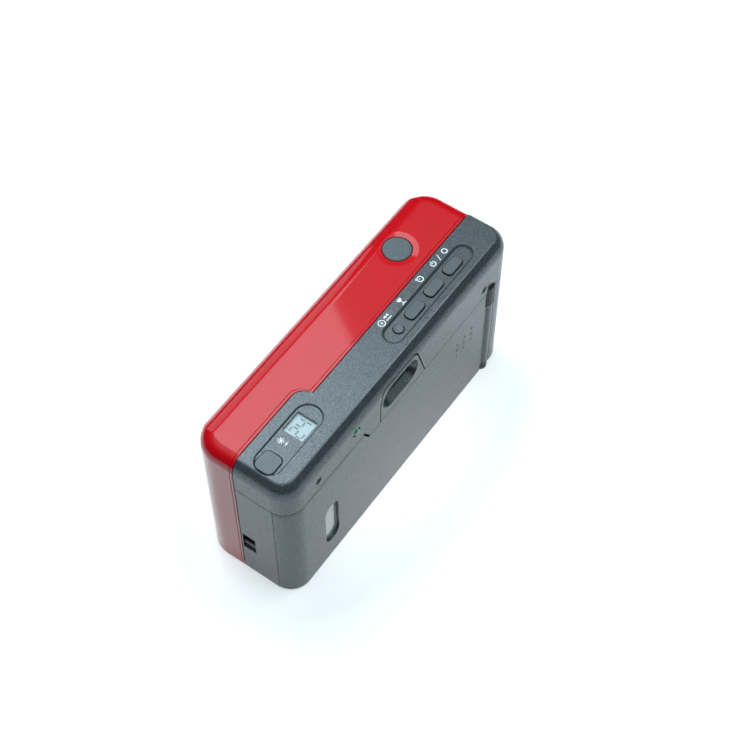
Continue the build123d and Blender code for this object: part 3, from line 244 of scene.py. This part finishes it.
def clear_plastic(name, tint, haze, gloss):
    """Thin clear window: light goes straight through, and only its outer skin shines."""
    look = Look(name, tint, haze)
    see = look.nodes.new("ShaderNodeBsdfTransparent")
    see.inputs["Color"].default_value = (*tint, 1)
    skin = look.nodes.new("ShaderNodeBsdfGlossy")
    skin.inputs["Color"].default_value = (gloss, gloss, gloss, 1)
    skin.inputs["Roughness"].default_value = haze
    fresnel = look.nodes.new("ShaderNodeFresnel")
    fresnel.inputs["IOR"].default_value = ACRYLIC_IOR
    side = look.nodes.new("ShaderNodeNewGeometry").outputs["Backfacing"]
    share = look.nodes.new("ShaderNodeMath")
    share.operation = "MULTIPLY"
    look.links.new(fresnel.outputs[0], share.inputs[0])
    look.links.new(look.ramp(side, 1.0, 0.0), share.inputs[1])
    mix = look.nodes.new("ShaderNodeMixShader")
    look.join(share.outputs[0], mix, 0)
    look.links.new(see.outputs[0], mix.inputs[1])
    look.links.new(skin.outputs[0], mix.inputs[2])
    look.links.new(mix.outputs[0], look.nodes["Material Output"].inputs["Surface"])
    look.nodes.remove(look.shader)
    return look.material


def dark_glass(name, colour, roughness=0.04, ior=1.55):
    """Deep tinted window or coated lens: dark body under a polished skin."""
    look = Look(name, colour, 0.25, specular_ior_level=0.2, coat_weight=1.0,
                coat_roughness=roughness, coat_ior=ior)
    look.drive("Base Color", look.blend(look.patches(120, 2.0), colour, scaled(colour, 1.8, 0.002)))
    look.bump((look.noise(200, 1.0), 0.004 * MM))
    return look.material


def coated_lens():
    """Front element: dark, with the violet and green cast of its coating over the curve."""
    look = Look("coated_lens", (0.01, 0.01, 0.02), 0.05, coat_weight=1.0,
                coat_roughness=0.02, coat_ior=1.7)
    facing = look.nodes.new("ShaderNodeLayerWeight")
    facing.inputs["Blend"].default_value = 0.35
    cast = look.blend(facing.outputs["Facing"], (0.015, 0.006, 0.030), (0.010, 0.055, 0.040))
    look.drive("Base Color", cast)
    look.bump((look.noise(150, 1.0), 0.002 * MM))
    return look.material


def lamp(name, colour, glow):
    """Translucent tinted lamp lens with a faint inner glow."""
    look = Look(name, colour, 0.22, coat_weight=0.8, coat_roughness=0.06, subsurface_weight=0.25,
                subsurface_scale=0.6 * MM, emission_strength=glow)
    look.shader.inputs["Emission Color"].default_value = (*colour, 1)
    core = look.patches(800, 2.0, 0.35, 0.7)
    look.drive("Base Color", look.blend(core, colour, scaled(colour, 1.7, 0.01)))
    return look.material


def circuit_board():
    """Green solder mask over copper tracks."""
    look = Look("circuit_board", (0.02, 0.13, 0.06), 0.38, coat_weight=0.4, coat_roughness=0.2)
    tracks = look.nodes.new("ShaderNodeTexBrick")
    tracks.inputs["Scale"].default_value = 260
    tracks.inputs["Color1"].default_value = (0.02, 0.12, 0.06, 1)
    tracks.inputs["Color2"].default_value = (0.03, 0.17, 0.08, 1)
    tracks.inputs["Mortar"].default_value = (0.10, 0.28, 0.12, 1)
    look.join(look.where, tracks, "Vector")
    look.drive("Base Color", tracks.outputs["Color"])
    look.bump((tracks.outputs["Fac"], 0.03 * MM))
    return look.material


def battery_sleeve():
    """Printed sleeve of the cell: dark, with a gold band at its upper end."""
    look = Look("battery_sleeve", (0.03, 0.03, 0.04), 0.3, coat_weight=0.5, coat_roughness=0.1)
    split = look.nodes.new("ShaderNodeSeparateXYZ")
    look.join(look.where, split, "Vector")
    low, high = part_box("battery")
    edge = low.z + BAND_START * (high.z - low.z)
    band = look.ramp(split.outputs["Z"], 0.0, 1.0, edge - BAND_BLUR, edge + BAND_BLUR)
    look.drive("Base Color", look.blend(band, (0.03, 0.035, 0.045), (0.75, 0.55, 0.10)))
    look.bump((look.noise(700, 2.0), 0.01 * MM))
    return look.material


def foam():
    """Open-cell light seal, painted darker at the bottom of each pore: painted shade."""
    look = Look("foam", (0.012, 0.012, 0.013), 0.9, sheen_weight=0.3)
    pore_relief_and_shade = look.cells(2600).outputs["Distance"]
    # painted shade: darker towards the bottom of each pore, in the same pits that the bump makes
    look.drive("Base Color", look.blend(pore_relief_and_shade, (0.004, 0.004, 0.004), (0.03, 0.03, 0.032)))
    look.bump((pore_relief_and_shade, 0.15 * MM))
    return look.material


def white_ink():
    """White print, worn in small spots."""
    look = Look("white_ink", (0.80, 0.83, 0.84), 0.5)
    worn = look.patches(2200, 3.0, 0.58, 0.70)
    look.drive("Base Color", look.blend(worn, (0.82, 0.85, 0.86), (0.55, 0.58, 0.60)))
    look.bump((look.noise(5000, 2.0), 0.004 * MM))
    return look.material


def liquid_crystal():
    """Pale reflective display ground."""
    look = Look("display_ground", (0.45, 0.53, 0.54), 0.4, specular_ior_level=0.3)
    look.drive("Base Color", look.blend(look.noise(1500, 2.0), (0.43, 0.51, 0.52), (0.47, 0.55, 0.57)))
    look.bump((look.noise(2500, 2.0), 0.003 * MM))
    return look.material


CHARCOAL_DARK = (0.012, 0.015, 0.017)
CHARCOAL_FLECK = (0.28, 0.325, 0.35)
LOOKS = {
    "red_gloss": red_paint(),
    "charcoal_satin": flecked_grey("charcoal_satin", CHARCOAL_DARK, CHARCOAL_FLECK, 0.27, 0.007 * MM),
    "key_grey": flecked_grey("key_satin", (0.022, 0.030, 0.034), (0.30, 0.34, 0.36), 0.38, 0.014 * MM),
    "black_plastic": moulded("black_moulding", (0.012, 0.012, 0.013), 0.48),
    "bezel_black": moulded("bezel_black", (0.016, 0.016, 0.018), 0.30, 0.008 * MM, coat_weight=0.4),
    "clear_window": clear_plastic("clear_window", (0.96, 0.98, 0.98), 0.03, 0.6),
    "dark_window": dark_glass("dark_window", (0.010, 0.012, 0.016)),
    "lens_glass": coated_lens(),
    "display_grey": liquid_crystal(),
    "green_lamp": lamp("green_lamp", (0.03, 0.26, 0.09), 0.05),
    "red_lamp": lamp("red_lamp", (0.42, 0.01, 0.01), 0.03),
    "steel": metal("drawn_steel", (0.50, 0.50, 0.51), 0.34, (1.0, 1.0, 14.0)),
    "brass": metal("turned_brass", (0.66, 0.50, 0.22), 0.30, (1.0, 1.0, 18.0)),
    "reflector": metal("flash_reflector", (0.86, 0.87, 0.89), 0.14, (1.0, 12.0, 1.0), 0.06),
    "circuit_board": circuit_board(),
    "white_gear": moulded("white_acetal", (0.76, 0.76, 0.72), 0.42, 0.008 * MM, variation=0.06,
                          subsurface_weight=0.1, subsurface_scale=0.4 * MM),
    "battery_wrap": battery_sleeve(),
    "foam": foam(),
}
# painted shade: near-black steel for the screws, so that they read as the dark holes they sit in
SCREW_METAL_PAINTED_SHADE = metal("screw_metal_painted_shade", (0.035, 0.035, 0.038), 0.42, (1.0, 12.0, 1.0))
INK = white_ink()
SEGMENT_INK = moulded("segment_ink", (0.13, 0.155, 0.165), 0.4, 0.002 * MM, variation=0.1)
EYEPIECE = dark_glass("eyepiece_glass", (0.003, 0.003, 0.004), 0.06, 1.25)
# painted reflection: the pane's pale grey base stands in for the white it reflects; its glossy coat
# reflects for real
PANE_PAINTED_REFLECTION = moulded("pane_painted_reflection", (0.36, 0.40, 0.42), 0.30, 0.003 * MM, variation=0.1,
                    coat_weight=1.0, coat_roughness=0.06, coat_ior=1.6)


def paint(piece, material):
    piece.data.materials.clear()
    piece.data.materials.append(material)


def paint_frame():
    """Every CAD node takes the material of its slot in the record, apart from four with their own; the
    screws carry painted shade, and the film window pane a painted reflection.
    """
    for part in frame["record"]["subparts"]:
        paint(NODES[part["node"]], LOOKS[part["material_slot"]])
    # painted shade: the screws are coloured near black, as dark as the holes they sit in
    for name in ("rear_screws", "base_screws"):
        paint(NODES[name], SCREW_METAL_PAINTED_SHADE)
    paint(NODES["eyepiece_lens"], EYEPIECE)
    # painted reflection: a pale base colour for the film window pane
    paint(NODES["film_window_pane"], PANE_PAINTED_REFLECTION)


# ---- printed symbols ----
# A symbol is a list of flat outlines in millimetres, x to the reader's right and y up.

def polygon(*corners):
    return [Vector(corner) for corner in corners]


def stroke(start, end, width):
    along = Vector(end) - Vector(start)
    side = Vector((-along.y, along.x)).normalized() * width / 2
    a, b = Vector(start), Vector(end)
    return [a - side, b - side, b + side, a + side]


def ring(centre, radius, width, begin=0, end=360, steps=40):
    """Part of a ring as a row of small quads; the angles are in degrees."""
    quads = []
    for i in range(steps):
        angles = [math.radians(begin + (end - begin) * (i + k) / steps) for k in (0, 1)]
        corners = []
        for angle, r in ((angles[0], radius - width / 2), (angles[0], radius + width / 2),
                         (angles[1], radius + width / 2), (angles[1], radius - width / 2)):
            corners.append(Vector((centre[0] + r * math.cos(angle), centre[1] + r * math.sin(angle))))
        quads.append(corners)
    return quads


def disc(centre, radius, steps=20):
    turn = 2 * math.pi / steps
    return [Vector((centre[0] + radius * math.cos(turn * i), centre[1] + radius * math.sin(turn * i)))
            for i in range(steps)]


def power_symbol():
    """A broken ring with a bar in its gap, a slash and a full ring."""
    shapes = ring((-3.1, 0), 0.86, 0.30, 125, 415) + [stroke((-3.1, 0.1), (-3.1, 1.2), 0.30)]
    shapes += [stroke((-0.55, -1.1), (0.55, 1.15), 0.26)]
    shapes += ring((3.1, 0), 0.86, 0.30)
    return shapes


def timer_symbol():
    """A clock face with one hand and a small arrowhead at its rim."""
    shapes = ring((0, 0), 0.98, 0.30, 150, 480) + [stroke((0, 0), (-0.38, 0.55), 0.28)]
    shapes += [polygon((-1.45, 0.85), (-0.62, 1.25), (-0.80, 0.30))]
    return shapes


def flower_symbol():
    """A tulip between two leaves."""
    bloom = polygon((-0.85, 1.35), (-0.75, 0.35), (0, -0.15), (0.75, 0.35),
                    (0.85, 1.35), (0.4, 0.9), (0, 1.45), (-0.4, 0.9))
    shapes = [bloom, stroke((0, 0), (0, -1.25), 0.26)]
    shapes += ring((-0.95, -0.35), 0.95, 0.34, 275, 345, 10)
    shapes += ring((0.95, -0.35), 0.95, 0.34, 195, 265, 10)
    return shapes


def rewind_symbol():
    """A film spool, and two arrowheads over a line."""
    shapes = ring((-2.0, 0), 1.12, 0.26) + [disc((-2.0, 0), 0.36)]
    for i in range(2):
        tip = -0.35 + 1.15 * i
        shapes.append(polygon((tip, 0.55), (tip + 1.1, 0.0), (tip + 1.1, 1.1)))
    shapes.append(stroke((-0.35, -0.65), (2.1, -0.65), 0.28))
    return shapes


def flash_symbol():
    """Rays round a centre, and a small bolt beside it."""
    centre = Vector((-0.75, 0))
    shapes = [disc(centre, 0.42)]
    for i in range(8):
        angle = math.radians(45 * i)
        way = Vector((math.cos(angle), math.sin(angle)))
        shapes.append(stroke(centre + way * 0.55, centre + way * 1.15, 0.22))
    shapes.append(polygon((1.35, 1.0), (0.75, -0.1), (1.15, -0.1)))
    shapes.append(polygon((1.0, -1.05), (1.6, 0.15), (1.2, 0.15)))
    return shapes


def digit(number, height):
    """Seven-segment figure: outlines of its lit bars, centred on the origin."""
    lit = {2: "abged", 4: "fgbc"}[number]
    half = height / 4
    bar = height * DIGIT_BAR
    gap = bar * DIGIT_GAP
    spans = {
        "a": ((-half, 2 * half), (half, 2 * half)),
        "g": ((-half, 0), (half, 0)),
        "d": ((-half, -2 * half), (half, -2 * half)),
        "f": ((-half, 0), (-half, 2 * half)),
        "b": ((half, 0), (half, 2 * half)),
        "e": ((-half, -2 * half), (-half, 0)),
        "c": ((half, -2 * half), (half, 0)),
    }
    bars = []
    for name in lit:
        start, end = (Vector(point) for point in spans[name])
        inset = (end - start).normalized() * gap
        bars.append(stroke(start + inset, end - inset, bar))
    return bars


def printed(name, shapes, centre, material, thickness=INK_THICKNESS):
    """A symbol laid on a level face, round centre, to be read from behind the camera."""
    mesh = bmesh.new()
    for outline in shapes:
        corners = [Vector((centre[0] - p.x * MM, centre[1] - p.y * MM, centre[2])) for p in outline]
        low = [mesh.verts.new(c) for c in corners]
        high = [mesh.verts.new(c + Vector((0, 0, thickness))) for c in corners]
        mesh.faces.new(high)
        for i in range(len(low)):
            k = (i + 1) % len(low)
            mesh.faces.new((low[i], low[k], high[k], high[i]))
    bmesh.ops.recalc_face_normals(mesh, faces=mesh.faces)
    piece = finished(name, mesh, material)
    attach(piece, "camera_body")


def finished(name, mesh, material):
    data = bpy.data.meshes.new(name)
    mesh.to_mesh(data)
    mesh.free()
    piece = bpy.data.objects.new(name, data)
    bpy.context.scene.collection.objects.link(piece)
    paint(piece, material)
    return piece


def make_prints():
    """White symbols on the top face, in a row beside the keys."""
    symbols = {"power_button": power_symbol, "timer_button": timer_symbol,
               "macro_button": flower_symbol}
    for button, symbol in symbols.items():
        low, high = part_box(button)
        centre = ((low.x + high.x) / 2, PRINT_ROW_Y, TOP_Z)
        printed("mark_" + button, symbol(), centre, INK)
    low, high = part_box("rewind_button")
    centre = ((low.x + high.x) / 2 - REWIND_MARK_SHIFT, PRINT_ROW_Y, TOP_Z)
    printed("mark_rewind_button", rewind_symbol(), centre, INK)


def make_pit_shade_discs():
    """Painted shade: black discs at the floors of the nine dimples in the film door, standing in for
    the shade inside them.
    """
    mesh = bmesh.new()
    bottom = REAR_Y - PITS_DEPTH
    for i in range(PITS_PER_ROW):
        for k in range(PITS_PER_ROW):
            x = PITS_X - PITS_STEP_X * i
            z = PITS_Z - PITS_STEP_Z * k
            rim = []
            for step in range(PITS_CORNERS):
                angle = 2 * math.pi * step / PITS_CORNERS
                corner = (x + PITS_R * math.cos(angle), bottom, z + PITS_R * math.sin(angle))
                rim.append(mesh.verts.new(corner))
            mesh.faces.new(rim)
    piece = finished("pit_floor_painted_shade", mesh, LOOKS["black_plastic"])
    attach(piece, "film_door")


def make_flash_mark():
    """The symbol between the flash key and the display lies along Y, on the floor of the panel."""
    low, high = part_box("flash_button")
    centre = (low.x - FLASH_MARK_X, (low.y + high.y) / 2 - FLASH_MARK_Y, TOP_Z - PANEL_DEPTH)
    turned = [[Vector((p.y, -p.x)) for p in outline] for outline in flash_symbol()]
    printed("mark_flash_button", turned, centre, INK)


def make_display():
    """Two figures of the frame counter, on the face of the display."""
    low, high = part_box("lcd_module")
    centre_x = (low.x + high.x) / 2
    centre_y = (low.y + high.y) / 2
    for place, number in enumerate((2, 4)):
        x = centre_x + (DIGIT_PITCH / 2 - DIGIT_PITCH * place) * MM
        printed(f"lcd_digit_{place + 1}", digit(number, DIGIT_HEIGHT), (x, centre_y, high.z),
                SEGMENT_INK, SEGMENT_THICKNESS)


# ---- stage ----

def make_stage():
    """A pale floor that glows round the body, and throws no diffuse light back onto it."""
    bpy.ops.mesh.primitive_circle_add(vertices=FLOOR_CORNERS, radius=FLOOR_RADIUS, fill_type="NGON")
    floor = bpy.context.object
    floor.name = "floor"
    ground = Look("floor_paper", (0.97, 0.96, 0.95), 0.8)
    ground.shader.inputs["Emission Color"].default_value = (1, 1, 1, 1)
    near = ground.nodes.new("ShaderNodeVectorMath")
    near.operation = "LENGTH"
    ground.join(ground.stretched((1 / GLOW_X, 1 / GLOW_Y, 1)), near, "Vector")
    ground.drive("Emission Strength", ground.ramp(near.outputs["Value"], *GLOW_STRENGTH, *GLOW_FADE))
    ground.bump((ground.noise(400, 2.0), 0.01 * MM))
    paint(floor, ground.material)
    floor.visible_diffuse = False


def make_world():
    """White to look at, bright overhead, and dim towards the horizon, as in a light tent."""
    world = bpy.data.worlds.new("tent")
    bpy.context.scene.world = world
    world.use_nodes = True
    nodes, links = world.node_tree.nodes, world.node_tree.links
    direction = nodes.new("ShaderNodeTexCoord")
    split = nodes.new("ShaderNodeSeparateXYZ")
    links.new(direction.outputs["Generated"], split.inputs[0])
    level = nodes.new("ShaderNodeMapRange")
    level.inputs["From Min"].default_value = -1
    level.inputs["From Max"].default_value = 1
    links.new(split.outputs["Z"], level.inputs["Value"])
    ramp = nodes.new("ShaderNodeValToRGB")
    ramp.color_ramp.interpolation = "EASE"
    elements = ramp.color_ramp.elements
    while len(elements) < len(TENT):
        elements.new(0.5)
    for element, (height, value) in zip(elements, TENT):
        element.position = (height + 1) / 2
        element.color = (*[value * channel for channel in LIGHT_TINT], 1)
    links.new(level.outputs[0], ramp.inputs[0])
    tent = nodes.new("ShaderNodeBackground")
    links.new(ramp.outputs[0], tent.inputs["Color"])
    white = nodes.new("ShaderNodeBackground")
    white.inputs["Strength"].default_value = WHITE_LEVEL
    white.inputs["Color"].default_value = (1, 1, 1, 1)
    ray = nodes.new("ShaderNodeLightPath")
    mix = nodes.new("ShaderNodeMixShader")
    links.new(ray.outputs["Is Camera Ray"], mix.inputs[0])
    links.new(tent.outputs[0], mix.inputs[1])
    links.new(white.outputs[0], mix.inputs[2])
    links.new(mix.outputs[0], nodes["World Output"].inputs["Surface"])


def soft_box(name, direction, distance, size, radiance, glossy=True):
    """A square light of a given brightness, seen in reflections or not."""
    light = bpy.data.lights.new(name, "AREA")
    light.shape = "SQUARE"
    light.size = size
    light.energy = radiance * math.pi * size * size
    light.color = LIGHT_TINT
    piece = bpy.data.objects.new(name, light)
    way = Vector(direction).normalized()
    piece.location = way * distance
    piece.rotation_euler = (-way).to_track_quat("-Z", "Y").to_euler()
    piece.visible_glossy = glossy
    bpy.context.scene.collection.objects.link(piece)


def make_lights():
    """Soft boxes overhead and in front; the last two light the camera without being reflected."""
    soft_box("key_light", (-0.20, -0.42, 0.88), 1.0, 0.52, 3.0)
    soft_box("window_light", (-0.25, -0.88, 0.42), 1.1, 0.62, 1.3)
    soft_box("strip_light", (-0.45, 0.26, 0.86), 1.0, 0.16, 5.0)
    soft_box("fill_light", (-0.3, 0.3, 0.9), 1.1, 0.8, 1.0, glossy=False)
    soft_box("top_light", (0.0, 0.0, 1.0), 1.1, 0.8, 2.6, glossy=False)


def make_camera():
    data = bpy.data.cameras.new("camera")
    data.sensor_width = SENSOR
    data.lens = CAMERA_LENS
    camera = bpy.data.objects.new("camera", data)
    camera.location = CAMERA_PLACE
    camera.rotation_euler = (CAMERA_TARGET - CAMERA_PLACE).to_track_quat("-Z", "Y").to_euler()
    bpy.context.scene.collection.objects.link(camera)
    bpy.context.scene.camera = camera


make_camera()
paint_frame()
make_prints()
make_flash_mark()
make_pit_shade_discs()
make_display()
make_stage()
make_world()
make_lights()
bpy.context.scene.view_settings.view_transform = "Standard"
